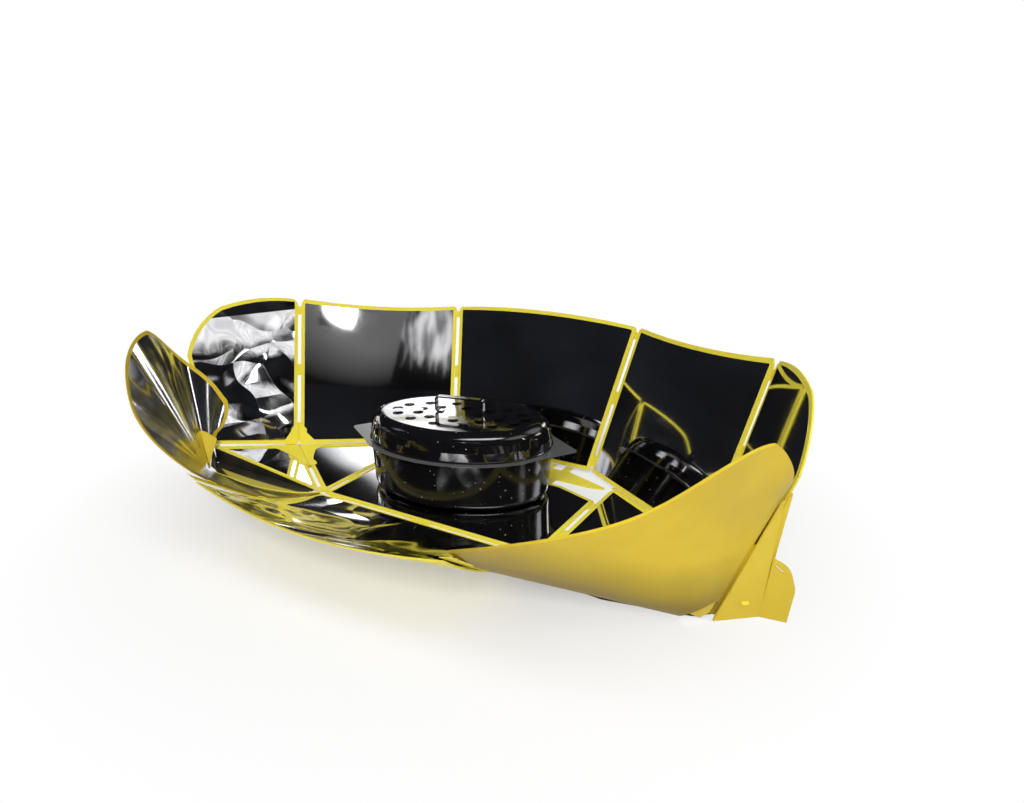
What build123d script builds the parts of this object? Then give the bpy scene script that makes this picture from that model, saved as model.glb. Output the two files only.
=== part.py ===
from build123d import *
import math
import os

# Folding panel solar cooker with an oval enamel roasting pan, in millimetres.
# The origin is under the middle of the floor panel, on the ground. +Z is up, the
# back wall stands at +Y and the two curved wings reach forward to -Y.
# Every panel is a flat or curved sheet between fold lines. A fold line runs in the
# middle of the sheet and of the slot between two panels, and small hinge webs
# cross the slot. Pieces of the right side are mirrored for the left side.

os.makedirs("parts", exist_ok=True)

# Sheet, mirror film and fold lines
sheet_thickness = 2.4
film_thickness = 0.4
film_lift = 0.3
slot_width = 7.0
border_width = 7.0
web_width = 6.4
web_thickness = 1.2
corner_round = 2.0
notch_width = 7.0

# Floor panel
floor_width = 405.0
floor_depth = 224.0
floor_back_margin = 4.0
floor_cut_x = 76.0
floor_cut_y = 26.0

# Spine strip behind the floor panel
back_foot_y = 190.0
spine_front_y = 133.0
spine_back_y = 172.0
spine_half_front = 198.0
spine_half_middle = 172.0
spine_half_back = 114.0
spine_tab_reach = 100.0
spine_tab_width = 16.0
spine_web_places = (-104, -72, 72, 104)
spine_web_width = 14.0

# Back centre panel
back_base_width = 292.0
back_head_width = 376.4
back_height = 262.0
back_crown = 10.0
back_lean = 19.8
back_notch = 7.0

# Back side panels
side_base_length = 300.0
side_heading = 33.1
side_height = 277.6
side_head_in = 2.2
side_crown = 8.0
side_notch = 12.0

# End panels
end_heading = 64.3
end_toe_reach = 157.0
end_toe_rise = 31.0
end_edge_reach = 170.0
end_edge_rise = 200.0
end_bend_reach = 138.0
end_bend_rise = 254.0
end_top_reach = 97.0
end_top_rise = 284.0
end_top_middle_reach = 50.0
end_top_middle_rise = 292.0

# Corner nodes
gusset_leg = 40.0
floor_gusset_leg = 56.0
open_corner_x = 202.5
open_corner_y = 136.0
open_corner_cut = 10.0

# Webs of the front fold
front_web_middle = 32.0
front_web_side = 26.0
front_web_x = 170.0

# Front apron: it rises from its fold line and sags between its raised corners
apron_rim_y = -357.0
apron_corner_y = -340.0
apron_corner_x = 211.0
apron_middle_y = -232.0
apron_middle_rise = 35.0
apron_middle_edge_rise = 43.0
apron_end_y = -364.0
apron_end_rise = 101.0
apron_end_edge_rise = 137.0

# Wings: a sheet bent to a cone that fans out from the foot. Points of the edge are
# (angle round the axis in degrees, distance from the apex along the sheet). The cone
# bulges towards the foot. Its apex, as the pleats and feet, is placed in plan from the
# toe of the end panel.
wing_apex = (-25.3, -31.6, 1.9)
wing_axis = (-0.59, 0.18, 0.79)
wing_half_angle = 52.46
wing_bulge = 4.5
wing_bulge_turn = 286
wing_bulge_width = 15
wing_root = 34.0
wing_root_margin = 8.0
wing_root_turn = 220
wing_shell_end = 350.0
wing_corner = (160, 341)
wing_rim = [(168, 327), (179, 303), (196, 270), (221, 246), (241, 254), (253, 261)]
wing_tip = (266, 264)
wing_free_edge = [(275, 247), (284, 224), (292, 200), (300, 176)]
wing_lap_top = (309, 154)
wing_lap_corner = (322, 131)
wing_lap_middle = (327, 105)
wing_lap_foot = (320, 68)
wing_pleat_edge = [(123, 80), (125, 130), (120, 178), (109, 226)]
wing_crease_foot = (97, 262)
wing_crease_beyond = (120, 335)
wing_crease_gap = 5.0

# Webs of the wing crease: share of the crease, height and slope in degrees
wing_web_places = [(0.18, 11.0, 15), (0.52, 43.5, 29), (0.87, 99.0, 41)]
wing_web_width = 4.6
wing_web_length = 14.0

# Pleats: a lens of folded sheet beside the lower edge of each wing
pleat_foot = (-50.3, -21.0, 4.6)
pleat_belly = (-155.3, -50.0, 6.8)
pleat_tail = (-236.3, -23.5, 5.0)
pleat_front = [(-103.3, -42.8), (-155.3, -54.2), (-204.3, -50.7)]
pleat_back = (-144.3, -27.0)

# Feet: a folded corner that stands on the ground and is locked by a tab
foot_top = (43.7, -12.5, 176.0)
foot_fold = (26.7, 14.0, 0.0)
foot_toe = (-19.3, -24.0, 0.0)
foot_seam_gap = 1.6
foot_round = 1.2
ear_round = 25.0
ground_cut = 100.0
seam_start = 0.07
seam_end = 0.93
ear_top = (37.7, 1.0, 89.0)
ear_shoulder = (56.7, 5.5, 80.0)
ear_side = (64.7, 11.0, 50.0)
ear_toe = (58.7, 18.0, 0.0)
ear_slot_length = 14.0
ear_slot_width = 2.4
tab_place = (11.7, -4.6, 28.0)
tab_slope = (0.53, -0.45, -0.71)
tab_length = 20.0
tab_width = 9.0
tab_out = 6.0
tab_clearance = 0.4

# Roasting pan, lid and grip
pan_bottom_length = 300.0
pan_bottom_width = 206.0
pan_top_z = 88.0
pan_wall = 1.4
pan_flare = 3.0
pan_bottom_round = 16.0
pan_rim_width = 9.0
pan_rim_thickness = 1.4
pan_over_handles = 395.0
pan_handle_base = 120.0
pan_handle_round = 7.0
pan_turn = 13.0
pan_x = -21.0
pan_y = 31.0
lid_length = 310.0
lid_width = 216.0
lid_rise = 44.0
lid_band = 16.0
lid_shoulder_in = 26.0
lid_wall = 1.2
grip_span = 84.0
grip_rise = 27.0
grip_strap = 10.0
grip_thick = 2.4
grip_foot = 13.0

half = sheet_thickness / 2
fold_z = half
film_top = fold_z + half + film_thickness


def node(shape, label):
    """Write one finished piece as its own STEP file."""
    shape.label = label
    export_step(shape, f"parts/{label}.step")


def pair(shape, label):
    """Write a right-hand piece and its mirror image."""
    node(shape, f"{label}_right")
    node(mirror(shape, about=Plane.YZ), f"{label}_left")


def spin(heading):
    """A level direction, turned down from +X towards -Y by a heading in degrees."""
    angle = math.radians(heading)
    return Vector(math.cos(angle), -math.sin(angle), 0)


def local(plane, point):
    """A point in the two coordinates of a plane."""
    p = plane.to_local_coords(point)
    return Vector(p.X, p.Y)


# Corner points and panel planes, worked out from the driving sizes
lean = math.radians(back_lean)
back_up = Vector(0, math.sin(lean), math.cos(lean))
back_foot = Vector(back_base_width / 2, back_foot_y, fold_z)
back_head = Vector(back_head_width / 2, back_foot_y, fold_z) + back_up * back_height
back_plane = Plane(
    origin=(0, back_foot_y, fold_z),
    x_dir=(1, 0, 0),
    z_dir=(0, -math.cos(lean), math.sin(lean)),
)

side_run = spin(side_heading)
side_foot = back_foot + side_run * side_base_length
side_normal = side_run.cross(back_head - back_foot).normalized()
side_plane = Plane(origin=back_foot, x_dir=side_run, z_dir=side_normal)
side_up = side_normal.cross(side_run)
side_head = side_foot - side_run * side_head_in + side_up * side_height

end_run = spin(end_heading)
end_normal = end_run.cross(side_head - side_foot).normalized()
end_plane = Plane(origin=side_foot, x_dir=end_run, z_dir=end_normal)
end_up = end_normal.cross(end_run)
end_toe = side_foot + end_run * end_toe_reach + end_up * end_toe_rise


def by_toe(place):
    """The point at a place given in plan from the end toe, and in height from the ground."""
    return Vector(end_toe.X + place[0], end_toe.Y + place[1], place[2])



floor_plane = Plane.XY.offset(fold_z)
front_corner = Vector(floor_width / 2, -floor_depth / 2, fold_z)
corner_run = side_foot - front_corner
corner_normal = corner_run.cross(end_toe - front_corner).normalized() * -1
corner_plane = Plane(origin=front_corner, x_dir=corner_run, z_dir=corner_normal)


def flat(plane, outline, notched, inset, thickness, lift, cuts):
    """A flat sheet: an outline on a plane, drawn in by an inset, with cut corners."""
    with BuildPart() as piece:
        with BuildSketch(plane.offset(lift)) as face:
            with BuildLine():
                outline(notched)
            make_face()
            offset(amount=-inset, kind=Kind.INTERSECTION, mode=Mode.REPLACE)
            for corner, ahead, aside, leg in cuts:
                with BuildLine():
                    Polyline(
                        corner - ahead * leg - aside * leg,
                        corner + ahead * leg * 2 - aside * leg,
                        corner - ahead * leg + aside * leg * 2,
                        close=True,
                    )
                make_face(mode=Mode.SUBTRACT)
            fillet(face.vertices(), corner_round)
        extrude(amount=thickness)
    return piece.part


def panel(plane, outline, cuts=()):
    """A yellow sheet between its fold lines, and the mirror film on its inner face."""
    sheet = flat(plane, outline, True, slot_width / 2, sheet_thickness, -half, ())
    film_inset = slot_width / 2 + border_width
    film = flat(plane, outline, False, film_inset, film_thickness, half, cuts)
    return sheet, film


def bowed(start, end, crown):
    """An edge between two corners that bows out to its left."""
    along = (end - start).normalized()
    middle = (start + end) * 0.5 + Vector(-along.Y, along.X) * crown
    ThreePointArc(start, middle, end)


def webs(start, end, face, spans):
    """Hinge webs across a slot, placed by fractions of the fold line."""
    run = end - start
    out = face - run.normalized() * face.dot(run.normalized())
    with BuildPart() as piece:
        with BuildSketch(Plane(origin=start, x_dir=run, z_dir=out)):
            for near, far in spans:
                with Locations((run.length * (near + far) / 2, 0)):
                    RectangleRounded(run.length * (far - near), web_width, 1.0)
        extrude(amount=web_thickness / 2, both=True)
    return piece.part


# Floor panel: its back corners are cut away beside the open corner nodes
def floor_outline(notched):
    x = floor_width / 2
    front = -floor_depth / 2
    back = floor_depth / 2 + floor_back_margin
    Polyline(
        (-x, front),
        (x, front),
        (x, back - floor_cut_y),
        (x - floor_cut_x, back),
        (-x + floor_cut_x, back),
        (-x, back - floor_cut_y),
        close=True,
    )


floor_sheet, floor_film = panel(floor_plane, floor_outline)
node(floor_sheet, "floor_panel")
node(floor_film, "floor_mirror")


# Spine strip: a flat tapered strip with three tabs that reach to the floor panel
def spine_outline():
    step = (spine_back_y - spine_front_y) * 0.2
    Polyline(
        (-spine_half_middle, spine_front_y),
        (spine_half_middle, spine_front_y),
        (spine_half_front, spine_front_y + step),
        (spine_half_back, spine_back_y),
        (-spine_half_back, spine_back_y),
        (-spine_half_front, spine_front_y + step),
        close=True,
    )


floor_back_edge = floor_depth / 2 + floor_back_margin - slot_width / 2
tab_start = floor_back_edge + (slot_width - web_width) / 2
with BuildPart() as spine:
    with BuildSketch() as spine_face:
        with BuildLine():
            spine_outline()
        make_face()
        fillet(spine_face.vertices(), corner_round)
    extrude(amount=sheet_thickness)
    with BuildSketch(floor_plane):
        for tab_x in (-spine_tab_reach, 0, spine_tab_reach):
            with Locations((tab_x, (tab_start + spine_front_y + 2) / 2)):
                Rectangle(spine_tab_width, spine_front_y + 2 - tab_start)
    extrude(amount=web_thickness / 2, both=True)
node(spine.part, "spine_strip")

# Webs of the back fold: four tabs from the spine strip to the back centre panel
with BuildPart() as back_webs:
    web_front = spine_back_y + (slot_width - web_width) / 2
    web_back = back_foot_y + web_width / 2
    with BuildSketch(floor_plane):
        for web_x in spine_web_places:
            with Locations((web_x, (web_front + web_back) / 2)):
                Rectangle(spine_web_width, web_back - web_front)
    extrude(amount=web_thickness / 2, both=True)
node(back_webs.part, "hinge_back_centre")


# Back centre panel, leaning back, with a bowed head and a notch at each end of it
def back_outline(notched):
    foot = Vector(back_base_width / 2, 0)
    head = Vector(back_head_width / 2, back_height)
    peak = head + Vector(-notch_width, back_notch)
    Line((-foot.X, 0), foot)
    if notched:
        Line(foot, head)
        Line(head, peak)
        bowed(peak, Vector(-peak.X, peak.Y), -back_crown)
        Line((-peak.X, peak.Y), (-head.X, head.Y))
        Line((-head.X, head.Y), (-foot.X, 0))
    else:
        high = head + (head - foot).normalized() * back_notch
        Line(foot, high)
        bowed(high, Vector(-high.X, high.Y), -back_crown)
        Line((-high.X, high.Y), (-foot.X, 0))


back_sheet, back_film = panel(back_plane, back_outline)
node(back_sheet, "back_centre_panel")
node(back_film, "back_centre_mirror")


# Back side panels
def side_outline(notched):
    head_in = local(side_plane, back_head)
    head_out = local(side_plane, side_head)
    foot_out = local(side_plane, side_foot)
    Line((0, 0), foot_out)
    if notched:
        peak_in = head_in + Vector(notch_width, back_notch)
        peak_out = head_out + Vector(-notch_width, side_notch)
        Line(foot_out, head_out)
        Line(head_out, peak_out)
        bowed(peak_out, peak_in, side_crown)
        Line(peak_in, head_in)
        Line(head_in, (0, 0))
    else:
        high_in = head_in + head_in.normalized() * back_notch
        high_out = head_out + (head_out - foot_out).normalized() * side_notch
        Line(foot_out, high_out)
        bowed(high_out, high_in, side_crown)
        Line(high_in, (0, 0))


side_foot_cut = (Vector(side_base_length, 0), Vector(-1, 0), Vector(0, 1), gusset_leg)
side_sheet, side_film = panel(side_plane, side_outline, [side_foot_cut])
pair(side_sheet, "back_side_panel")
pair(side_film, "back_side_mirror")


# End panels, with one large rounded corner
def end_outline(notched):
    head = local(end_plane, side_head)
    peak = head + Vector(notch_width, side_notch)
    if not notched:
        peak = head + head.normalized() * side_notch
    edge = (end_edge_reach, end_edge_rise)
    top = (end_top_reach, end_top_rise)
    Line((0, 0), (end_toe_reach, end_toe_rise))
    Line((end_toe_reach, end_toe_rise), edge)
    ThreePointArc(edge, (end_bend_reach, end_bend_rise), top)
    ThreePointArc(top, (end_top_middle_reach, end_top_middle_rise), peak)
    if notched:
        Line(peak, head)
        Line(head, (0, 0))
    else:
        Line(peak, (0, 0))


end_foot_cut = (Vector(0, 0), Vector(1, 0), Vector(0, 1), gusset_leg)
end_sheet, end_film = panel(end_plane, end_outline, [end_foot_cut])
pair(end_sheet, "end_panel")
pair(end_film, "end_mirror")


# Side floor panels: triangles that lie flat beside the floor panel
def floor_side_outline(notched):
    cut = open_corner_cut if notched else 0
    run_share = (open_corner_x + cut - back_foot.X) / side_run.X
    hinge_point = back_foot + side_run * run_share
    Line((front_corner.X, front_corner.Y), (side_foot.X, side_foot.Y))
    Line((side_foot.X, side_foot.Y), (hinge_point.X, hinge_point.Y))
    if notched:
        Line((hinge_point.X, hinge_point.Y), (open_corner_x, open_corner_y))
        Line((open_corner_x, open_corner_y), (front_corner.X, front_corner.Y))
    else:
        Line((hinge_point.X, hinge_point.Y), (front_corner.X, front_corner.Y))


toward_back = side_run * -1
toward_front = corner_run.normalized() * -1
floor_side_cut = (
    Vector(side_foot.X, side_foot.Y),
    Vector(toward_back.X, toward_back.Y),
    Vector(toward_front.X, toward_front.Y),
    floor_gusset_leg,
)
floor_side_sheet, floor_side_film = panel(floor_plane, floor_side_outline, [floor_side_cut])
pair(floor_side_sheet, "floor_side_panel")
pair(floor_side_film, "floor_side_mirror")


# Corner floor panels: triangles that rise to the feet
def floor_corner_outline(notched):
    foot = local(corner_plane, side_foot)
    toe = local(corner_plane, end_toe)
    Polyline((0, 0), toe, foot, close=True)


corner_foot = local(corner_plane, side_foot)
corner_toe = local(corner_plane, end_toe)
floor_corner_cut = (
    corner_foot,
    Vector(-1, 0),
    (corner_toe - corner_foot).normalized(),
    gusset_leg,
)
corner_sheet, corner_film = panel(corner_plane, floor_corner_outline, [floor_corner_cut])
pair(corner_sheet, "floor_corner_panel")
pair(corner_film, "floor_corner_mirror")


# Hinge webs of the straight folds
pair(
    webs(back_head, back_foot, side_normal + back_plane.z_dir, [(0.02, 0.07), (0.43, 0.52), (0.88, 0.95)]),
    "hinge_back_side",
)
pair(
    webs(side_head, side_foot, side_normal + end_normal, [(0.02, 0.08), (0.43, 0.51), (0.84, 0.97)]),
    "hinge_end",
)
pair(
    webs(back_foot, side_foot, Vector(0, 0, 1), [(0.24, 0.96)]),
    "hinge_wall_foot",
)
pair(
    webs(side_foot, end_toe, end_normal + corner_normal, [(0.04, 0.16), (0.9, 0.96)]),
    "hinge_end_foot",
)
pair(
    webs(side_foot, front_corner, corner_normal + Vector(0, 0, 1), [(0.04, 0.46), (0.88, 0.95)]),
    "hinge_floor_corner",
)
floor_fold_back = Vector(front_corner.X, open_corner_y, fold_z)
pair(
    webs(front_corner, floor_fold_back, Vector(0, 0, 1), [(0.03, 0.08), (0.26, 0.36), (0.69, 0.78)]),
    "hinge_floor_side",
)
with BuildPart() as front_webs:
    with BuildSketch(floor_plane):
        with Locations((0, -floor_depth / 2)):
            Rectangle(front_web_middle, web_width)
        for web_x in (-front_web_x, front_web_x):
            with Locations((web_x, -floor_depth / 2)):
                Rectangle(front_web_side, web_width)
    extrude(amount=web_thickness / 2, both=True)
node(front_webs.part, "hinge_front")


# Front apron: a sheet lofted over three upright sections, then cut to its outline
def apron_section(middle, edge, low, high):
    reach = apron_corner_x + 6
    ThreePointArc((-reach, edge + low), (0, middle + low - 0.01), (reach, edge + low))
    Line((reach, edge + low), (reach, edge + high))
    ThreePointArc((reach, edge + high), (0, middle + high - 0.01), (-reach, edge + high))
    Line((-reach, edge + high), (-reach, edge + low))


def apron_outline():
    x = floor_width / 2
    y = -floor_depth / 2
    corner = (apron_corner_x, apron_corner_y)
    Line((-x, y), (x, y))
    Line((x, y), corner)
    ThreePointArc(corner, (0, apron_rim_y), (-apron_corner_x, apron_corner_y))
    Line((-apron_corner_x, apron_corner_y), (-x, y))


def apron_sheet(low, high, inset):
    with BuildPart() as piece:
        for y, middle, edge in (
            (-floor_depth / 2, fold_z, fold_z),
            (apron_middle_y, apron_middle_rise, apron_middle_edge_rise),
            (apron_end_y, apron_end_rise, apron_end_edge_rise),
        ):
            with BuildSketch(Plane(origin=(0, y, 0), x_dir=(1, 0, 0), z_dir=(0, -1, 0))):
                with BuildLine():
                    apron_section(middle, edge, low, high)
                make_face()
        loft()
        with BuildSketch() as face:
            with BuildLine():
                apron_outline()
            make_face()
            offset(amount=-inset, kind=Kind.INTERSECTION, mode=Mode.REPLACE)
            fillet(face.vertices(), corner_round)
        extrude(amount=200, mode=Mode.INTERSECT)
    return piece.part


node(apron_sheet(-half, half, slot_width / 2), "front_apron")
apron_film_low = half + film_lift
apron_film_inset = slot_width / 2 + border_width
apron_film = apron_sheet(apron_film_low, apron_film_low + film_thickness, apron_film_inset)
node(apron_film, "front_apron_mirror")

# Wings: a cone of sheet, cut by an outline drawn across the axis of the cone
cone_axis = Vector(*wing_axis).normalized()
cone_side = cone_axis.cross(Vector(0, 0, 1)).normalized()
cone_apex = by_toe(wing_apex)
cone_angle = math.radians(wing_half_angle)
cone_floor = Plane(origin=cone_apex, x_dir=cone_side, z_dir=cone_axis)
apron_corner = Vector(apron_corner_x, apron_corner_y, 0)
crease_run = (apron_corner - Vector(front_corner.X, front_corner.Y, 0)).normalized()
crease_side = Vector(-crease_run.Y, crease_run.X, 0)


def across(point, shorter=0, onward=0):
    """A point of the wing edge, seen along the axis of the cone and moved inwards."""
    reach = (point[1] - shorter) * math.sin(cone_angle)
    turn = math.radians(point[0]) + onward / reach
    return (reach * math.cos(turn), reach * math.sin(turn))


def wing_outline(inset):
    start = across(wing_corner, inset)
    rim = [across(p, inset) for p in wing_rim]
    tip = across(wing_tip, inset, -inset * 0.3)
    free_edge = [across(p, inset * 0.7, -inset * 0.7) for p in wing_free_edge]
    lap_top = across(wing_lap_top, inset * 0.5, -inset)
    lap_corner = across(wing_lap_corner, inset, -inset)
    lap_middle = across(wing_lap_middle, 0, -inset)
    lap_foot = across(wing_lap_foot, 0, -inset)
    root = wing_root + inset
    root_end = across((wing_lap_foot[0] - 4, root), 0, -inset)
    root_middle = across((wing_root_turn, root))
    root_start = across((wing_pleat_edge[0][0] + 6, root), 0, inset)
    pleat_edge = [across(p, 0, inset) for p in wing_pleat_edge]
    crease_foot = across(wing_crease_foot, 0, inset)
    Spline(start, *rim, tip)
    Spline(tip, *free_edge, lap_top)
    Line(lap_top, lap_corner)
    ThreePointArc(lap_corner, lap_middle, lap_foot)
    Line(lap_foot, root_end)
    ThreePointArc(root_end, root_middle, root_start)
    Spline(root_start, *pleat_edge, crease_foot)
    Line(crease_foot, across(wing_crease_beyond))
    Line(across(wing_crease_beyond), start)


def wing_ring(rise, shift):
    """Points of the section of the wing's cone at a distance along its axis."""
    points = []
    for turn in range(0, 360, 8):
        bulge = wing_bulge * math.exp(-(((turn - wing_bulge_turn) / wing_bulge_width) ** 2))
        reach = rise * math.tan(cone_angle + math.radians(bulge)) - shift / math.cos(cone_angle)
        angle = math.radians(turn)
        points.append((reach * math.cos(angle), reach * math.sin(angle)))
    return points


def wing_sheet(low, high, inset):
    near = (wing_root - wing_root_margin) * math.cos(cone_angle)
    far = wing_shell_end * math.cos(cone_angle)
    with BuildPart() as piece:
        for rise in (near, far):
            with BuildSketch(cone_floor.offset(rise)):
                with BuildLine():
                    Spline(*wing_ring(rise, low), periodic=True)
                make_face()
        loft(ruled=True)
        for rise in (near, far):
            with BuildSketch(cone_floor.offset(rise)):
                with BuildLine():
                    Spline(*wing_ring(rise, high), periodic=True)
                make_face()
        loft(ruled=True, mode=Mode.SUBTRACT)
        with BuildSketch(cone_floor):
            with BuildLine():
                wing_outline(inset)
            make_face()
        extrude(amount=wing_shell_end, mode=Mode.INTERSECT)
        crease_at = apron_corner + crease_side * (wing_crease_gap / 2 + inset)
        with BuildSketch(Plane(origin=crease_at, x_dir=crease_run, z_dir=crease_side)):
            Rectangle(4 * wing_shell_end, 4 * wing_shell_end)
        extrude(amount=-2 * wing_shell_end, mode=Mode.SUBTRACT)
    return piece.part


wing_shell = wing_sheet(-half, half, 0)
wing_film = wing_sheet(half + film_lift, half + film_lift + film_thickness, border_width)
pair(wing_shell, "wing")
pair(wing_film, "wing_mirror")

# Hinge webs between the apron and the wings: short tabs that follow the bent crease
with BuildPart() as wing_webs:
    for share, rise, slope in wing_web_places:
        start = Vector(front_corner.X, front_corner.Y, 0)
        spot = start + (apron_corner - start) * share
        with Locations((spot.X - 0.5, spot.Y, rise)):
            Box(wing_web_width, wing_web_length, web_thickness, rotation=(-slope, 0, 0))
pair(wing_webs.part, "hinge_wing")


# Pleats: flat lenses of sheet between the lower edge of each wing and the corner floor
pleat_start = by_toe(pleat_foot)
pleat_end = by_toe(pleat_tail)
pleat_middle = by_toe(pleat_belly)
pleat_run = pleat_end - pleat_start
pleat_face = pleat_run.cross(pleat_middle - pleat_start).normalized() * -1
pleat_plane = Plane(origin=pleat_start, x_dir=pleat_run, z_dir=pleat_face)


def on_pleat(place):
    """The point of the pleat's plane above a place in plan, in that plane."""
    ahead = by_toe((place[0], place[1], pleat_start.Z)) - pleat_start
    drop = (pleat_face.X * ahead.X + pleat_face.Y * ahead.Y) / pleat_face.Z
    return local(pleat_plane, pleat_start + ahead - Vector(0, 0, drop))


with BuildPart() as pleat:
    with BuildSketch(pleat_plane) as pleat_sketch:
        with BuildLine():
            start = local(pleat_plane, pleat_start)
            end = local(pleat_plane, pleat_end)
            Spline(start, *[on_pleat(place) for place in pleat_front], end)
            ThreePointArc(end, on_pleat(pleat_back), start)
        make_face()
    extrude(amount=half, both=True)
pair(pleat.part, "pleat")


# Feet: an upright triangle and an ear that meet along an upright fold
def foot_plate(corners, roundings):
    """A plate through its corners, each rounded by its own radius."""
    a, b, c = corners[:3]
    plane = Plane(origin=a, x_dir=b - a, z_dir=(b - a).cross(c - a).normalized())
    places = [local(plane, point) for point in corners]
    with BuildPart() as piece:
        with BuildSketch(plane) as sketch:
            with BuildLine():
                Polyline(*places, close=True)
            make_face()
            for place, rounding in zip(places, roundings):
                fillet(sketch.vertices().sort_by_distance(place)[0], rounding)
        extrude(amount=half, both=True)
    return piece.part


fold_top = by_toe(foot_top)
fold_foot = by_toe(foot_fold)
toe = by_toe(foot_toe)
ear_start = by_toe(ear_top)
ear_bottom = by_toe(ear_toe)
ear_corner = by_toe(ear_shoulder)
ear_edge = by_toe(ear_side)
tab_at = by_toe(tab_place)
flange_face = (fold_foot - fold_top).cross(toe - fold_top).normalized()
tab_level = flange_face.cross(Vector(0, 0, 1)).normalized()
tab_run = Vector(*tab_slope).normalized()
tab_plane = Plane(origin=tab_at, x_dir=tab_level, z_dir=tab_level.cross(tab_run))
ear_face = (ear_bottom - fold_foot).cross(ear_start - fold_foot).normalized()
slot_at = ear_corner + (ear_start - ear_corner) * 0.5 + Vector(-2, 0, -9)
slot_run = (ear_corner - ear_start).normalized() + Vector(0, 0, -0.35)
slot_plane = Plane(origin=slot_at, x_dir=slot_run, z_dir=ear_face)
seam_run = (end_run * (end_edge_reach - end_toe_reach) + end_up * (end_edge_rise - end_toe_rise))
seam_out = seam_run.normalized().cross(end_normal)
if seam_out.dot(end_run) < 0:
    seam_out = seam_out * -1
seam_low = end_toe + seam_run * seam_start + seam_out * (foot_seam_gap - slot_width / 2)
seam_high = end_toe + seam_run * seam_end + seam_out * (foot_seam_gap - slot_width / 2)
with BuildPart() as foot:
    add(foot_plate([fold_top, fold_foot, toe], [foot_round] * 3))
    add(foot_plate([seam_low, seam_high, fold_foot], [foot_round] * 3))
    ear_corners = [fold_foot, ear_bottom, ear_edge, ear_corner, ear_start]
    add(foot_plate(ear_corners, [foot_round, foot_round, ear_round, ear_round, foot_round]))
    with BuildSketch(slot_plane):
        SlotOverall(ear_slot_length, ear_slot_width)
    extrude(amount=8, both=True, mode=Mode.SUBTRACT)
    with BuildSketch(tab_plane):
        Rectangle(tab_width + 2 * tab_clearance, tab_length * 2)
    extrude(amount=web_thickness / 2 + tab_clearance, both=True, mode=Mode.SUBTRACT)
    with Locations((fold_foot.X, fold_foot.Y, -ground_cut / 2)):
        Box(4 * ground_cut, 4 * ground_cut, ground_cut, mode=Mode.SUBTRACT)
pair(foot.part, "foot")

# Lock tabs: each passes through the slit of a foot
with BuildPart() as lock_tab:
    with BuildSketch(tab_plane):
        with Locations((0, tab_out - tab_length / 2)):
            RectangleRounded(tab_width, tab_length, 1.5)
    extrude(amount=web_thickness / 2, both=True)
pair(lock_tab.part, "lock_tab")

# Roasting pan: an oval bowl with a flat rim that widens to a pointed handle at each end
pan_place = Location((pan_x, pan_y, 0), (0, 0, pan_turn))
rim_half_x = pan_bottom_length / 2 + pan_flare * 3
rim_half_y = pan_bottom_width / 2 + pan_flare * 3
with BuildPart() as pan:
    with BuildSketch(Plane.XY.offset(film_top)):
        Ellipse(pan_bottom_length / 2, pan_bottom_width / 2)
    extrude(amount=pan_top_z - film_top, taper=-pan_flare)
    fillet(pan.faces().sort_by(Axis.Z)[0].edges(), pan_bottom_round)
    offset(amount=-pan_wall, openings=pan.faces().sort_by(Axis.Z)[-1], mode=Mode.REPLACE)
    with BuildSketch(Plane.XY.offset(pan_top_z - pan_rim_thickness)) as rim:
        Ellipse(rim_half_x - 3 + pan_rim_width, rim_half_y - 3 + pan_rim_width)
        with BuildLine():
            root_x = pan_handle_base
            root_y = (rim_half_y + pan_rim_width - 4) * math.sqrt(1 - (root_x / (rim_half_x + 6)) ** 2)
            point_angle = math.atan2(root_y, pan_over_handles / 2 - root_x)
            rounded_off = pan_handle_round * (1 / math.sin(point_angle) - 1)
            tip = pan_over_handles / 2 + rounded_off
            Polyline((tip, 0), (root_x, root_y), (-root_x, root_y), (-tip, 0), close=False)
            Polyline((-tip, 0), (-root_x, -root_y), (root_x, -root_y), (tip, 0), close=False)
        make_face()
        fillet(rim.vertices().sort_by(Axis.X)[-1], pan_handle_round)
        fillet(rim.vertices().sort_by(Axis.X)[0], pan_handle_round)
        Ellipse(rim_half_x - 6.5, rim_half_y - 6.5, mode=Mode.SUBTRACT)
    extrude(amount=pan_rim_thickness)
node(pan_place * pan.part, "roasting_pan")

# Lid: an upright band, a rounded shoulder and a flat top
with BuildPart() as lid:
    with BuildSketch(Plane.XY.offset(pan_top_z)):
        Ellipse(lid_length / 2, lid_width / 2)
    with BuildSketch(Plane.XY.offset(pan_top_z + lid_band)):
        Ellipse(lid_length / 2 - 1, lid_width / 2 - 1)
    loft()
    with BuildSketch(Plane.XY.offset(pan_top_z + lid_band)):
        Ellipse(lid_length / 2 - 1, lid_width / 2 - 1)
    extrude(amount=lid_rise - lid_band, taper=12)
    fillet(lid.faces().sort_by(Axis.Z)[-1].edges(), lid_shoulder_in * 0.8)
    offset(amount=-lid_wall, openings=lid.faces().sort_by(Axis.Z)[0], mode=Mode.REPLACE)
node(pan_place * lid.part, "pan_lid")

# Grip: a bent strap with two feet that stand on the lid
lid_top_z = pan_top_z + lid_rise
with BuildPart() as grip:
    with BuildSketch(Plane.XZ.offset(-grip_strap / 2)) as strap:
        with Locations((0, lid_top_z + grip_rise / 2)):
            RectangleRounded(grip_span, grip_rise, 6)
            RectangleRounded(
                grip_span - 2 * grip_thick, grip_rise - 2 * grip_thick, 4, mode=Mode.SUBTRACT
            )
        with Locations((0, lid_top_z + 1.2)):
            Rectangle(grip_span - 2 * grip_foot, 8, mode=Mode.SUBTRACT)
    extrude(amount=grip_strap)
node(pan_place * grip.part, "lid_grip")
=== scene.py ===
import math

import bmesh
import bpy
from mathutils import Matrix, Vector


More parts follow.
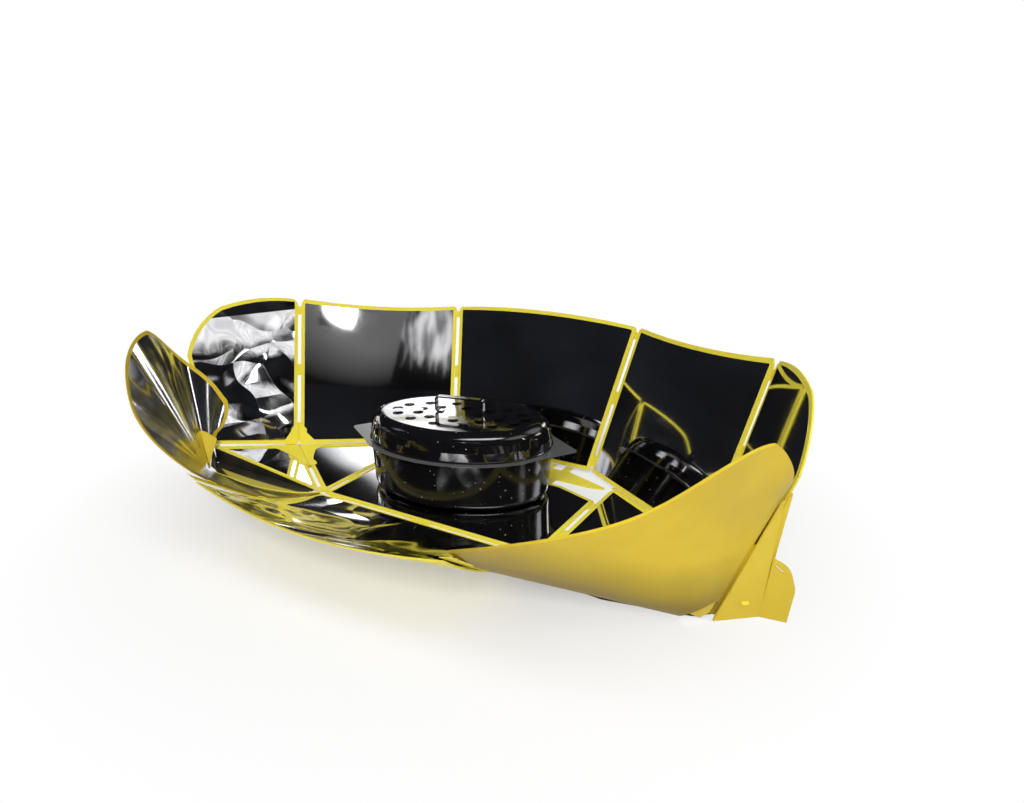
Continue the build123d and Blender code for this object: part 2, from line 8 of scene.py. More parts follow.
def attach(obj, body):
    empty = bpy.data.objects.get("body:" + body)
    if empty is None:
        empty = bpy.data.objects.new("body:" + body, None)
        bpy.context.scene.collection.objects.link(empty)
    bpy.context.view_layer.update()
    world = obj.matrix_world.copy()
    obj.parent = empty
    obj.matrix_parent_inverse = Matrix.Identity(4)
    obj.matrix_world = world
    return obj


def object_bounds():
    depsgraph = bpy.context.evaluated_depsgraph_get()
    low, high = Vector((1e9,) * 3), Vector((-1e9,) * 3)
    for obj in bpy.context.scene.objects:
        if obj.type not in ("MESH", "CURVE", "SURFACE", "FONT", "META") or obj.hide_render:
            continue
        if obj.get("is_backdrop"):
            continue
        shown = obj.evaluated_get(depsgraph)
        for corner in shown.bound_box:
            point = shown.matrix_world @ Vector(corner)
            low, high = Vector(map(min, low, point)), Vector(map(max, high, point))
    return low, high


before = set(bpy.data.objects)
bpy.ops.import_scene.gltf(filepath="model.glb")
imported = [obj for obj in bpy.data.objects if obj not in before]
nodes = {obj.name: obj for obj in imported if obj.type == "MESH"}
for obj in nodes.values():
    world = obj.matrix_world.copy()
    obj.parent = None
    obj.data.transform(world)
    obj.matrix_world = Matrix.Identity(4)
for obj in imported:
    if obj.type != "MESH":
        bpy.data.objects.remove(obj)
cad_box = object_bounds()

# The yellow sheet: one sheet of matt polypropylene with a fine grain, cut, slotted and
# creased into the panels. The webs across the slots are of the same sheet and share its
# finish. The wings and feet are painted darker near the ground and the middle, as painted
# shade, and the pleats are painted the dark olive of the sheet in shade.


class Socket:
    """A node socket that does sums."""

    def __init__(self, finish, link):
        self.finish = finish
        self.link = link

    def sum(self, kind, other):
        return self.finish.node("ShaderNodeMath", {"operation": kind}, [self, other])

    def __add__(self, other):
        return self.sum("ADD", other)

    def __sub__(self, other):
        return self.sum("SUBTRACT", other)

    def __mul__(self, other):
        return self.sum("MULTIPLY", other)


class Finish:
    """A material whose nodes are added one by one."""

    def __init__(self, name):
        self.material = bpy.data.materials.new(name)
        self.material.use_nodes = True
        self.nodes = self.material.node_tree.nodes
        self.links = self.material.node_tree.links
        self.shader = self.nodes["Principled BSDF"]

    def node(self, kind, settings=None, inputs=(), out=0):
        """Add a node: its settings first, then the values or links of its sockets."""
        made = self.nodes.new(kind)
        for key, value in (settings or {}).items():
            if key == "stops":
                ramp = made.color_ramp
                while len(ramp.elements) < len(value):
                    ramp.elements.new(0.5)
                for element, (place, colour) in zip(ramp.elements, value):
                    element.position = place
                    element.color = (*colour, 1)
            else:
                setattr(made, key, value)
        pairs = inputs.items() if isinstance(inputs, dict) else enumerate(inputs)
        for key, value in pairs:
            self.put(made.inputs[key], value)
        return Socket(self, made.outputs[out])

    def put(self, socket, value):
        if isinstance(value, Socket):
            self.links.new(value.link, socket)
        else:
            socket.default_value = value

    def place(self):
        return self.node("ShaderNodeTexCoord", out="Object")

    def axis(self, letter):
        return self.node("ShaderNodeSeparateXYZ", {}, [self.place()], letter)

    def noise(self, scale, detail=3.0, out="Fac", vector=None):
        inputs = {"Vector": vector or self.place(), "Scale": scale, "Detail": detail}
        return self.node("ShaderNodeTexNoise", {}, inputs, out)

    def ramp(self, value, stops):
        return self.node("ShaderNodeValToRGB", {"stops": stops}, [value], "Color")

    def level(self, value, low, high, to_low, to_high):
        """Carry a value from one range to another, without going beyond it."""
        inputs = {"Value": value, "From Min": low, "From Max": high}
        inputs.update({"To Min": to_low, "To Max": to_high})
        return self.node("ShaderNodeMapRange", {}, inputs, "Result")

    def cells(self, feature, scale, out, vector=None):
        inputs = {"Vector": vector or self.place(), "Scale": scale}
        return self.node("ShaderNodeTexVoronoi", {"feature": feature}, inputs, out)

    def vector(self, kind, *inputs, out="Vector"):
        return self.node("ShaderNodeVectorMath", {"operation": kind}, inputs, out)

    def bump(self, height, strength, distance):
        inputs = {"Height": height, "Strength": strength, "Distance": distance}
        return self.node("ShaderNodeBump", {}, inputs, "Normal")

    def shade(self, **values):
        for key, value in values.items():
            self.put(self.shader.inputs[key.replace("_", " ")], value)
        return self.material


def yellow_sheet(name, light, deep, shade, shine):
    """Matt plastic sheet: cloudy, finely grained, with painted shade near the ground and the
    middle.
    """
    skin = Finish(name)
    cloud = skin.noise(7, 4)
    # Painted shade: the colour deepens towards the ground and the middle, where the sheet
    # turns under and is in shade.
    outward = skin.axis("X").sum("ABSOLUTE", 0.0)
    height = skin.axis("Z") + outward * 0.35
    deepest, clear = 0.17, 0.28
    low = skin.level(height, deepest, clear, shade, 0.0)
    grain = skin.noise(2400, 2)
    return skin.shade(
        Base_Color=skin.ramp(cloud * 0.4 + 0.38 - low, [(0.2, deep), (0.6, light)]),
        Roughness=skin.level(cloud, 0.3, 0.7, 0.40, 0.52),
        Specular_IOR_Level=shine,
        Normal=skin.bump(grain, 0.22, 0.0002),
    )


def dress(obj, finish):
    """Give a CAD part its finish."""
    obj.data.materials.clear()
    obj.data.materials.append(finish)


# After the two colours comes how far each sheet is painted darker near the ground and the
# middle, as painted shade.
lemon = yellow_sheet("lemon_sheet", (0.92, 0.79, 0.07), (0.86, 0.68, 0.05), 0.0, 0.4)
mustard = yellow_sheet("mustard_sheet", (0.80, 0.58, 0.04), (0.30, 0.21, 0.016), 0.42, 0.2)
foot_sheet = yellow_sheet("foot_sheet", (0.80, 0.61, 0.05), (0.66, 0.47, 0.03), 0.08, 0.3)
# The pleats are the yellow sheet painted olive, as it looks in shade: painted shade.
painted_shade_pleat = yellow_sheet("painted_shade_pleat_sheet", (0.50, 0.42, 0.06), (0.36, 0.29, 0.04), 0.0, 0.2)
pot_nodes = ("roasting_pan", "pan_lid", "lid_grip")
for name, obj in nodes.items():
    if "mirror" not in name and name not in pot_nodes:
        dress(obj, mustard if name.startswith("wing") else lemon)
for side in ("right", "left"):
    dress(nodes[f"pleat_{side}"], painted_shade_pleat)
    dress(nodes[f"foot_{side}"], foot_sheet)


# The mirror film: metallised film glued to the inner face of each panel inside a yellow
# border. It lies flat on the back and floor panels. It is crumpled at the left end and
# on the apron, and folded in rays round the foot of each wing.
upward = Vector((0, 0, 1))


def mirror_film(name, swell, crumple, blur, rays=None):
    """Silver film with a long swell, sharp creases, and rays round a foot and an axis."""
    film = Finish(name)
    place = film.place()
    height = film.noise(2.6, 1) * swell
    if crumple:
        shake = film.vector("MULTIPLY", film.noise(4, 2, "Color"), (0.25, 0.25, 0.25))
        bent = film.vector("ADD", place, shake)
        calm = film.level(film.axis("Z"), 0.10, 0.25, 1.0, 0.15)
        edge = film.cells("DISTANCE_TO_EDGE", 6.0, "Distance", bent)
        crease = film.level(edge, 0.0, 0.45, crumple, 0.0)
        wave = film.noise(6.5, 1, vector=bent) * (crumple * 2.4)
        height = height + (crease + wave) * calm
    if rays:
        foot, axis, depth = rays
        side = axis.cross(upward).normalized()
        arm = film.vector("SUBTRACT", place, tuple(foot))
        across = film.vector("DOT_PRODUCT", arm, tuple(side), out="Value")
        along = film.vector("DOT_PRODUCT", arm, tuple(axis.cross(side)), out="Value")
        angle = across.sum("ARCTAN2", along)
        reach = film.vector("LENGTH", arm, out="Value")
        fan = film.node("ShaderNodeCombineXYZ", {}, [angle * 1.5, reach * 1.2, 0.0])
        height = height + film.noise(1.6, 0.5, vector=fan) * reach * depth
    silver = [(0.3, (0.74, 0.75, 0.79)), (0.7, (0.86, 0.86, 0.88))]
    return film.shade(
        Base_Color=film.ramp(film.noise(9, 2), silver),
        Metallic=1.0,
        Roughness=film.level(film.noise(700, 2), 0.3, 0.8, 0.02 + blur, 0.07 + blur),
        Normal=film.bump(height, 1.0, 0.02),
    )


wing_foot = Vector((0.449, -0.143, 0.002))
wing_axis = Vector((-0.59, 0.18, 0.79)).normalized()
mirrored = Vector((-1, 1, 1))
right_rays = (wing_foot, wing_axis, 6.0)
left_rays = (wing_foot * mirrored, wing_axis * mirrored, 6.0)
flat_film = mirror_film("flat_film", 0.16, 0.0, 0.0)
film_of = {
    "end_mirror_left": mirror_film("crumpled_film", 0.8, 0.6, 0.03),
    "front_apron_mirror": mirror_film("apron_film", 0.6, 0.3, 0.05),
    "wing_mirror_right": mirror_film("rayed_film_right", 0.3, 0.0, 0.1, right_rays),
    "wing_mirror_left": mirror_film("rayed_film_left", 0.3, 0.0, 0.1, left_rays),
}
for name, obj in nodes.items():
    if "mirror" in name:
        dress(obj, film_of.get(name, flat_film))


# The corner patches: where four panels meet beside each end, the sheet has no slots and
# a lobed patch of it is creased along the folds. Each quarter belongs to its own panel,
# so the patch folds with them.
def put_mesh(name, shape, finish, body=None):
    """A mesh object from a bmesh: it rides on a body, or belongs to the studio."""
    mesh = bpy.data.meshes.new(name)
    shape.to_mesh(mesh)
    shape.free()
    mesh.materials.append(finish)
    obj = bpy.data.objects.new(name, mesh)
    bpy.context.collection.objects.link(obj)
    if body:
        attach(obj, body)
    else:
        obj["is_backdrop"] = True
    return obj


def plate(points, lift, thick, rounding):
    """A flat plate through its corners, lifted off their plane, with rounded corners."""
    shape = bmesh.new()
    face = shape.faces.new([shape.verts.new(point) for point in points])
    face.normal_update()
    bmesh.ops.translate(shape, verts=shape.verts, vec=face.normal * lift)
    if rounding:
        bmesh.ops.bevel(
            shape, geom=shape.verts, offset=rounding, affect="VERTICES", segments=4,
            profile=0.5, material=-1,
        )
    shape.faces.ensure_lookup_table()
    up = shape.faces[0].normal.copy()
    lifted = bmesh.ops.extrude_face_region(shape, geom=list(shape.faces))["geom"]
    tops = [piece for piece in lifted if isinstance(piece, bmesh.types.BMVert)]
    bmesh.ops.translate(shape, verts=tops, vec=up * thick)
    bmesh.ops.recalc_face_normals(shape, faces=shape.faces)
    return shape


def both_sides(name, make, finish, body):
    """A piece on the right side and its mirror image on the left."""
    for side in ("right", "left"):
        shape = make()
        if side == "left":
            bmesh.ops.scale(shape, verts=shape.verts, vec=(-1, 1, 1))
            bmesh.ops.reverse_faces(shape, faces=shape.faces)
        put_mesh(f"{name}_{side}", shape, finish, body.replace("SIDE", side))


def spot(x, y, z):
    """A point given in millimetres."""
    return Vector((x, y, z)) / 1000


wall_foot = spot(397.3, 26.2, 1.2)
wall_head = spot(451.2, 112.8, 259.4)
back_foot = spot(146, 190, 1.2)
end_toe = spot(474.2, -111.0, 30.6)
floor_corner = spot(202.5, -112, 1.2)
to_head = (wall_head - wall_foot).normalized()
to_back = (back_foot - wall_foot).normalized()
to_toe = (end_toe - wall_foot).normalized()
to_floor = (floor_corner - wall_foot).normalized()
patch_lift, patch_thick, patch_rounding = 0.00165, 0.0006, 0.0014
bowl_middle = Vector((0, 0.05, 0.12))


def quarter(fold, other_fold, steps):
    """A quarter of the patch: steps in millimetres along two folds from the corner."""
    points = [wall_foot + fold * (s / 1000) + other_fold * (t / 1000) for s, t in steps]
    normal = (points[1] - points[0]).cross(points[2] - points[1])
    if normal.dot(bowl_middle - wall_foot) < 0:
        points.reverse()
    return plate(points, patch_lift, patch_thick, patch_rounding)


wall_lobe = [
    (2.4, 2.4), (50, 2.4), (44, 5.5), (33, 8), (22, 14), (15, 21), (15.5, 31), (11, 36),
    (1, 37),
]
floor_side_lobe = [
    (1, 3), (58, 3), (52, 8), (36, 16), (26, 32), (17, 62), (13, 84), (16, 92), (16, 104),
    (10, 110), (1, 110),
]
floor_corner_lobe = [
    (1, 3), (62, 3), (60, 10), (44, 22), (32, 42), (20, 66), (14, 84), (17, 92), (17, 104),
    (11, 110), (1, 110),
]
for name, fold, other_fold, steps, body in (
    ("patch_back", to_back, to_head, wall_lobe, "side_SIDE"),
    ("patch_end", to_toe, to_head, wall_lobe, "end_SIDE"),
    ("patch_floor", to_back, to_floor, floor_side_lobe, "base"),
    ("patch_corner", to_toe, to_floor, floor_corner_lobe, "corner_SIDE"),
):
    both_sides(name, lambda: quarter(fold, other_fold, steps), lemon, body)


# The creases along the feet of the walls: grooves pressed half through the sheet, coloured a
# darker, browner yellow. Each is a thin strip of the sheet down in the fold.
crease_line = yellow_sheet("crease_line", (0.62, 0.47, 0.04), (0.50, 0.36, 0.03), 0.0, 0.3)
crease_half_width, crease_thick = 0.0029, 0.0006


def groove(end, far):
    """A thin strip along a fold of the ground, from the corner to a share of its run."""
    run = end - wall_foot
    side = Vector((-run.y, run.x, 0)).normalized() * crease_half_width
    a, b = wall_foot - run * 0.005, wall_foot + run * far
    corners = [a - side, b - side, b + side, a + side]
    return plate(corners, -crease_thick / 2, crease_thick, 0)


for name, end, far in (
    ("crease_wall", back_foot, 0.765),
    ("crease_floor", floor_corner, 0.50),
):
    both_sides(name, lambda: groove(end, far), crease_line, "base")


# The wings' borders and patches: a narrow border of bare sheet runs along the edge of
# the film on each wing, a patch of it holds the wing's foot, and a ply of it covers the
# crease between the wing and the apron. A wing is part of a cone round its foot.
wing_side = wing_axis.cross(upward).normalized()
half_cone = math.radians(52.46)
bulge_angle, bulge_turn, bulge_spread = 4.5, 286, 15


def on_wing(turn, reach, inside):
    """A point of the wing's cone by its turn in degrees, its reach and depth in mm."""
    bulge = bulge_angle * math.exp(-(((turn - bulge_turn) / bulge_spread) ** 2))
    rise = reach * math.cos(half_cone)
    out = rise * math.tan(half_cone + math.radians(bulge)) - inside / math.cos(half_cone)
    angle = math.radians(turn)
    ray = wing_side * math.cos(angle) + wing_axis.cross(wing_side) * math.sin(angle)
    return wing_foot + (wing_axis * rise + ray * out) / 1000


def along(points, share):
    """A point on the smooth curve through points, by its share of the steps."""
    last = len(points) - 1
    step = min(int(share * last), last - 1)
    part = share * last - step
    near = [max(0, min(step + k, last)) for k in (-1, 0, 1, 2)]
    a, b, c, d = (Vector(points[index]) for index in near)
    bend = (2 * a - 5 * b + 4 * c - d) * part ** 2 + (3 * b - a - 3 * c + d) * part ** 3
    return b + ((c - a) * part + bend) / 2


def strip(across, length, place, thick):
    """A thin sheet: a grid whose points are carried to their places, then given a wall."""
    shape = bmesh.new()
    bmesh.ops.create_grid(shape, x_segments=across, y_segments=length, size=0.5)
    for vert in shape.verts:
        vert.co = place(vert.co.x + 0.5, vert.co.y + 0.5)
    bmesh.ops.solidify(shape, geom=list(shape.faces), thickness=thick)
    bmesh.ops.recalc_face_normals(shape, faces=shape.faces)
    return shape


film_depth = 2.1
border_thick, border_start, border_wide = 0.0006, 0.5, 8
wing_edge = [(129, 36), (123, 80), (125, 130), (120, 178), (109, 226), (97, 262)]


def edge_border(u, v):
    """The border just inside the wing's upper edge."""
    turn, reach = along(wing_edge, v)
    inward = border_start + border_wide * u
    wide = math.degrees(inward / (reach * math.sin(half_cone)))
    return on_wing(turn + wide, reach, film_depth)


ply_thick = 0.0008
lobe_turn, lobe_spread, lobe_start = 186, 136, 14
lobe_short, lobe_longer, lobe_wave = 40, 24, 3


def foot_patch(u, v):
    """The lobed patch with a wavy edge, which grows longer away from the feet."""
    turn = lobe_turn + lobe_spread * u
    grown = min(1, max(0, (turn - 190) / 60))
    end = lobe_short + lobe_longer * grown + lobe_wave * math.sin(turn / 9)
    return on_wing(turn, lobe_start + (end - lobe_start) * v, film_depth)


crease_rise = [(0, 1.2), (0.18, 11.0), (0.52, 43.5), (0.87, 99.0), (1, 121)]
crease_x, crease_y, crease_lowest = 202.5, -112, 0.9
crease_wide, crease_run, crease_drift, crease_below = 17, 228, 8.5, 2.4


def crease_ply(u, v):
    """The ply that follows the crease up from the front corner of the floor panel."""
    share, rise = along(crease_rise, v)
    side = (u - 0.5) * crease_wide
    rise = max(crease_lowest, rise - crease_below + side * 0.3 * share)
    return spot(crease_x + crease_drift * share + side, crease_y - crease_run * share, rise)


both_sides("wing_border", lambda: strip(1, 40, edge_border, border_thick), lemon, "wing_SIDE")
both_sides(
    "wing_foot_patch", lambda: strip(40, 6, foot_patch, ply_thick), foot_sheet, "wing_SIDE"
)
both_sides("crease_ply", lambda: strip(2, 24, crease_ply, ply_thick), lemon, "apron")


# The bellows: beside the lower edge of each wing the sheet is doubled under its pleat.
# Its inner plies lie in deep shade and are painted near-black, as painted shade: one on the
# ground, one hanging from the edge of the corner panel down to it, and two gussets at the
# outer corner.
bellows_painted_shade = Finish("bellows_painted_shade")
deep_shade = [(0.3, (0.012, 0.012, 0.010)), (0.7, (0.035, 0.032, 0.02))]
painted_shade_sheet = bellows_painted_shade.shade(
    Base_Color=bellows_painted_shade.ramp(bellows_painted_shade.noise(30, 3), deep_shade),
    Roughness=0.5,
    Normal=bellows_painted_shade.bump(bellows_painted_shade.noise(300, 2), 0.2, 0.0004),
)


def ply(name, points, thick, rounding, body):
    """A ply painted near-black as shade, on both sides, through points in millimetres."""
    corners = [spot(*point) for point in points]
    both_sides(name, lambda: plate(corners, 0, thick, rounding), painted_shade_sheet, body)


curtain_edge = [
    (222, -107.5, 0.7), (468, -107.5, 0.7), (468, -107.5, 27.8), (222, -107.5, 1.0),
]
gusset_top, gusset_foot = (471, -110, 28), (432, -137, 0.8)
seam_edge = [(226, -113.5), (462, -113.5), (462, -107), (226, -107)]
ply_edge = [
    (240, -143), (272, -159), (322, -162), (370, -152), (408, -146), (434, -138), (450, -123),
    (462, -111.5), (230, -111.5), (226, -122),
]
# The curtain is a near-black sheet hung across the gap under the pleat: painted shade where
# there is only shade.
ply("bellows_curtain", curtain_edge, 0.0006, 0, "corner_SIDE")
ply("gusset_inner", [gusset_top, gusset_foot, (466, -108, 0.8)], 0.0005, 0, "corner_SIDE")
ply("gusset_outer", [gusset_top, gusset_foot, (447, -137, 7)], 0.0005, 0, "wing_SIDE")
ply("bellows_seam", [(x, y, 0.1) for x, y in seam_edge], 0.0004, 0, "corner_SIDE")
ply("bellows_ply", [(x, y, 0.6) for x, y in ply_edge], ply_thick, 0.003, "wing_SIDE")


# The laps: a flap of each wing, of the same sheet, tucked behind the front edge of the
# foot. It stands 3 mm behind the foot and shows as a narrow strip beside it.
flange_toe = spot(454.9, -135.1, 0)
flange_top = spot(517.9, -123.6, 176)
flange_foot = spot(500.9, -97.1, 0)
flange_face = (flange_foot - flange_top).cross(flange_toe - flange_top).normalized()
flange_edge = flange_top - flange_toe
edge_out = flange_edge.cross(flange_face).normalized()
if edge_out.dot(flange_foot - flange_toe) > 0:
    edge_out = -edge_out
lap_gap, lap_thick, lap_rounding = 0.003, 0.0006, 0.002
lap_steps = [(0.04, -3), (0.62, -3), (0.62, 3), (0.35, 9), (0.12, 13), (0.05, 13)]
lap_edge = [
    flange_toe + flange_edge * share + edge_out * (out / 1000) + flange_face * lap_gap
    for share, out in lap_steps
]
both_sides(
    "wing_lap", lambda: plate(lap_edge, 0, lap_thick, lap_rounding), mustard, "wing_SIDE"
)


# The roaster: pressed steel under black enamel with fine white specks. The flat rim and the
# handles are painted grey and made rougher: a painted sheen for the light they catch. The
# lid has rings of pressed dimples round its grip and a rolled edge.
pan_spot = Vector((-0.021, 0.031, 0))
pan_turn = Matrix.Rotation(math.radians(13), 4, "Z")
pan_place = Matrix.Translation(pan_spot) @ pan_turn
rim_low, rim_high, lid_top = 0.0865, 0.0885, 0.132


def enamel(name, painted_rim_sheen):
    """Gloss enamel: a white speck in four of ten small cells, and a rim painted grey as a
    painted sheen.
    """
    glaze = Finish(name)
    middle = glaze.cells("F1", 165.0, "Distance")
    chance = glaze.cells("F1", 165.0, "Color")
    chance = glaze.node("ShaderNodeSeparateXYZ", {}, [chance], "X")
    size = glaze.level(chance, 0.60, 1.0, 0.0, 0.16)
    speck = glaze.level(size - middle, 0.0, 0.03, 0.0, 1.0)
    colour = glaze.ramp(speck, [(0.0, (0.006, 0.006, 0.007)), (1.0, (0.55, 0.55, 0.54))])
    sheen = glaze.level(glaze.noise(14, 3), 0.3, 0.7, 0.05, 0.10)
    if painted_rim_sheen:
        # Painted sheen: above the rim's foot the enamel is painted grey for the light the
        # flat rim and the handles catch, and it is rougher there.
        rim = glaze.level(glaze.axis("Z"), rim_low - 0.0001, rim_low, 0.0, 1.0)
        sheen_grey = (0.10, 0.10, 0.102, 1)
        first_colour, second_colour, mixed_colour = 6, 7, 2
        inputs = {"Factor": rim, first_colour: colour, second_colour: sheen_grey}
        colour = glaze.node("ShaderNodeMix", {"data_type": "RGBA"}, inputs, mixed_colour)
        sheen = sheen + rim * 0.12 + 0.04
    return glaze.shade(
        Base_Color=colour,
        Roughness=sheen,
        IOR=1.38 if painted_rim_sheen else 1.8,
        Normal=glaze.bump(glaze.noise(55, 2), 0.08, 0.002),
    )


black_enamel = enamel("black_enamel", False)
dress(nodes["roasting_pan"], enamel("enamel_painted_rim_sheen", True))
dress(nodes["pan_lid"], black_enamel)
dress(nodes["lid_grip"], black_enamel)


dimple_radius = 0.0090


def dimple(shape, x, y):
    """A low dome on the lid."""
    place = Matrix.Translation((x, y, lid_top))
    foot = bmesh.ops.create_circle(
        shape, cap_ends=True, segments=24, radius=dimple_radius, matrix=place
    )["verts"]
    top = foot[0].link_faces[0]
    for inset, rise in ((0.0022, 0.0012), (0.0026, 0.0010), (0.0022, 0.0005)):
        bmesh.ops.inset_region(shape, faces=[top], thickness=inset)
        bmesh.ops.translate(shape, verts=top.verts, vec=(0, 0, rise))


shape = bmesh.new()
for count, long, short, start in ((14, 0.112, 0.052, 0.0), (10, 0.074, 0.031, 0.5)):
    for index in range(count):
        turn = (index + start) * math.tau / count
        dimple(shape, long * math.cos(turn), short * math.sin(turn))
bmesh.ops.transform(shape, matrix=pan_place, verts=shape.verts)
put_mesh("lid_dimples", shape, black_enamel, "lid")

edge_long, edge_short, edge_round = 0.1552, 0.1082, 0.0013
shape = bmesh.new()
bmesh.ops.create_circle(shape, segments=10, radius=edge_round)
bmesh.ops.rotate(shape, verts=shape.verts, matrix=Matrix.Rotation(math.pi / 2, 3, "X"))
bmesh.ops.translate(shape, verts=shape.verts, vec=(edge_long, 0, rim_high + edge_round))
bmesh.ops.spin(
    shape, geom=list(shape.verts) + list(shape.edges), cent=(0, 0, 0), axis=(0, 0, 1),
    angle=math.tau, steps=120, use_merge=True,
)
for vert in shape.verts:
    turn = math.atan2(vert.co.y, vert.co.x)
    vert.co.y += (edge_short - edge_long) * math.sin(turn)
bmesh.ops.remove_doubles(shape, verts=shape.verts, dist=0.00002)
bmesh.ops.recalc_face_normals(shape, faces=shape.faces)
bmesh.ops.transform(shape, matrix=pan_place, verts=shape.verts)
put_mesh("lid_rolled_edge", shape, black_enamel, "lid")


# The studio floor: a round of white paper a hair below the object. It keeps the shadow
# close round the object and is as white as the background further out.
def studio_paper():
    paper = Finish("studio_paper")
    away = paper.vector("LENGTH", paper.place(), out="Value")
    path = paper.nodes.new("ShaderNodeLightPath").outputs
    seen = Socket(paper, path["Is Camera Ray"]) + Socket(paper, path["Is Glossy Ray"])
    seen = seen + Socket(paper, path["Is Transmission Ray"])
    seen = seen.sum("MINIMUM", 1.0)
    near, far, least_white = 0.28, 0.66, 0.45
    white = paper.level(away, near, far, least_white, 1.0) * seen
    paper.shade(Base_Color=(0.88, 0.88, 0.88, 1), Roughness=0.95, Specular_IOR_Level=0.0)
    glow = paper.node("ShaderNodeEmission", {}, {"Color": (1, 1, 1, 1), "Strength": 1.0})
    both = paper.node("ShaderNodeMixShader", {}, {0: white, 2: glow})
    paper.links.new(paper.shader.outputs[0], both.link.node.inputs[1])
    paper.links.new(both.link, paper.nodes["Material Output"].inputs["Surface"])
    return paper.material


floor_radius, floor_drop = 9, 0.0005
shape = bmesh.new()
bmesh.ops.create_circle(shape, cap_ends=True, segments=64, radius=floor_radius)
bmesh.ops.translate(shape, verts=shape.verts, vec=(0, 0, -floor_drop))
put_mesh("studio_floor", shape, studio_paper())


# The dark hall: a dome of black cloth over a ring of it on the floor, which only the
# mirrors and the enamel show. It is open low behind the object, where they show the
# white background.
hall_radius, hall_floor_share = 4.5, 0.19
open_rise, open_turn = 14, 12
camera_turn, camera_rise = 30.3, 18.3
azimuth = math.radians(camera_turn)
behind = Vector((-math.sin(azimuth), math.cos(azimuth), 0))
shape = bmesh.new()
bmesh.ops.create_uvsphere(shape, u_segments=72, v_segments=36, radius=hall_radius)
gone = []
for face in shape.faces:
    middle = face.calc_center_median()
    rise = math.degrees(math.asin(middle.z / middle.length))
    turn = math.degrees(Vector((middle.x, middle.y, 0)).angle(behind))
    if rise < 0 or (rise < open_rise and turn < open_turn):
        gone.append(face)
bmesh.ops.delete(shape, geom=gone, context="FACES")
cloth = Finish("black_cloth")
faint_folds = [(0.3, (0.001, 0.001, 0.001)), (0.75, (0.010, 0.011, 0.015))]
black_cloth = cloth.shade(
    Base_Color=(0.01, 0.01, 0.012, 1),
    Roughness=0.9,
    Emission_Color=cloth.ramp(cloth.noise(1.2, 3), faint_folds),
    Emission_Strength=1.0,
)
put_mesh("black_hall", shape, black_cloth).visible_camera = False


def only_reflected(obj):
    """Show a piece of the studio in the mirrors and the enamel only."""
    obj.visible_camera = obj.visible_diffuse = obj.visible_shadow = False


shape = bmesh.new()
bmesh.ops.create_circle(shape, segments=64, radius=hall_radius)
drawn = bmesh.ops.extrude_edge_only(shape, edges=list(shape.edges))["geom"]
inner = [piece for piece in drawn if isinstance(piece, bmesh.types.BMVert)]
bmesh.ops.scale(shape, verts=inner, vec=(hall_floor_share, hall_floor_share, 1))
bmesh.ops.recalc_face_normals(shape, faces=shape.faces)
only_reflected(put_mesh("black_floor_ring", shape, black_cloth))


# The cards: soft white panels hung round the hall. The mirrors and the enamel show them
# as the glow of a window, as streaks and as grey haze.
card_reach = 3.4


def toward(turn, rise, reach):
    """A point at a turn from straight ahead and a rise, in degrees."""
    turn, rise = math.radians(turn), math.radians(rise)
    level = Vector((math.sin(turn), -math.cos(turn), 0)) * math.cos(rise)
    return (level + Vector((0, 0, math.sin(rise)))) * reach


def facing(obj, turn, rise, reach):
    """Put a piece of the studio at that point and turn it to the object."""
    obj.location = toward(turn, rise, reach)
    obj.rotation_euler = (-obj.location).to_track_quat("-Z", "Y").to_euler()


def card(name, turn, rise, wide, tall, strength, streak=0.0):
    """A glowing panel that fades to its edges, streaked where it is asked for."""
    glow = Finish(f"{name}_glow")
    shrink = glow.vector("DIVIDE", glow.place(), (wide / 2, tall / 2, 1.0))
    away = glow.vector("LENGTH", shrink, out="Value")
    level = glow.level(away, 0.45, 1.0, 1.0, 0.0)
    if streak:
        squeeze = glow.vector("MULTIPLY", glow.place(), (9.0, 1.6, 1.0))
        level = level - glow.level(glow.noise(2.2, 3, vector=squeeze), 0.42, 0.6, streak, 0.0)
    shape = bmesh.new()
    bmesh.ops.create_grid(shape, x_segments=1, y_segments=1, size=0.5)
    bmesh.ops.scale(shape, verts=shape.verts, vec=(wide, tall, 1))
    colour = glow.ramp(level, [(0.0, (0, 0, 0)), (1.0, (1, 0.99, 0.97))])
    black = (0.0, 0.0, 0.0, 1)
    glow.shade(Base_Color=black, Emission_Color=colour, Emission_Strength=strength)
    obj = put_mesh(name, shape, glow.material)
    facing(obj, turn, rise, card_reach)
    only_reflected(obj)


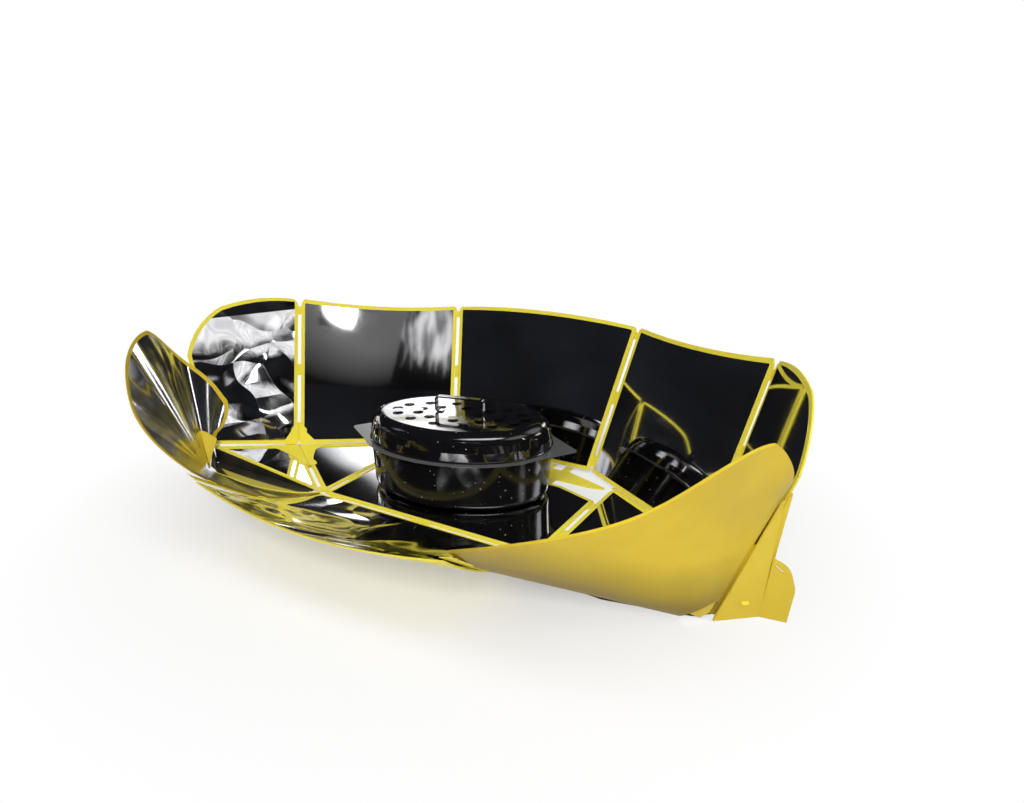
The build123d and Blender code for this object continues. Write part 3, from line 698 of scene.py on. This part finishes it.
card("window_glow", 15.4, 37.3, 0.34, 0.24, 9.0)
card("window_haze", 18, 37, 1.5, 0.9, 0.15)
card("side_glow", 28, 36, 0.7, 0.7, 0.9, 0.8)
card("ceiling_glow", 40, 67, 2.8, 1.1, 7.0)
card("back_glow", -138.5, 21, 0.9, 0.7, 6.0)
card("strip_right", 93, 30, 0.16, 1.4, 14.0)
card("wall_right", 92, 50, 2.8, 1.8, 1.5, 0.55)
card("wall_back", 146, 44, 3.0, 2.2, 1.4, 0.5)
card("wall_left", -70, 40, 0.9, 1.1, 1.4, 0.5)


# The lamps: four soft boxes high in the hall, the strongest one in front and to the
# right. The mirrors do not show them. The background is plain white.
lamp_reach = 3.2


def lamp(name, turn, rise, size, power):
    """A square area lamp at a turn and a rise, facing the object."""
    light = bpy.data.lights.new(name, "AREA")
    light.size = size
    light.energy = power
    obj = bpy.data.objects.new(name, light)
    bpy.context.collection.objects.link(obj)
    facing(obj, turn, rise, lamp_reach)
    obj.visible_glossy = False


lamp("key", 26, 38, 0.7, 52)
lamp("overhead", 0, 85, 1.8, 30)
lamp("left", -75, 50, 1.0, 14)
lamp("right", 88, 38, 1.0, 20)

world = bpy.data.worlds.new("studio")
bpy.context.scene.world = world
world.use_nodes = True
background = world.node_tree.nodes["Background"].inputs
background["Color"].default_value = (1, 1, 1, 1)
background["Strength"].default_value = 1.0

# The camera: it stands close, in front and to the right, and looks a little down. Its
# place, turn, rise and lens are those found for the photograph.
camera_place = (0.6306, -0.9143, 0.5304)
film_width, lens_length = 36, 25.92
lens = bpy.data.cameras.new("camera")
lens.sensor_width = film_width
lens.lens = lens_length
lens.clip_start = 0.01
camera = bpy.data.objects.new("camera", lens)
bpy.context.collection.objects.link(camera)
back = toward(camera_turn, camera_rise, 1.0)
right = Vector((math.cos(azimuth), math.sin(azimuth), 0))
turn = Matrix((right, back.cross(right), back)).transposed().to_4x4()
camera.matrix_world = Matrix.Translation(camera_place) @ turn
bpy.context.scene.camera = camera
bpy.context.scene.view_settings.view_transform = "Standard"


def corners(pair):
    return [list(corner) for corner in pair]


{"cad": corners(cad_box), "visual": corners(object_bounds())}
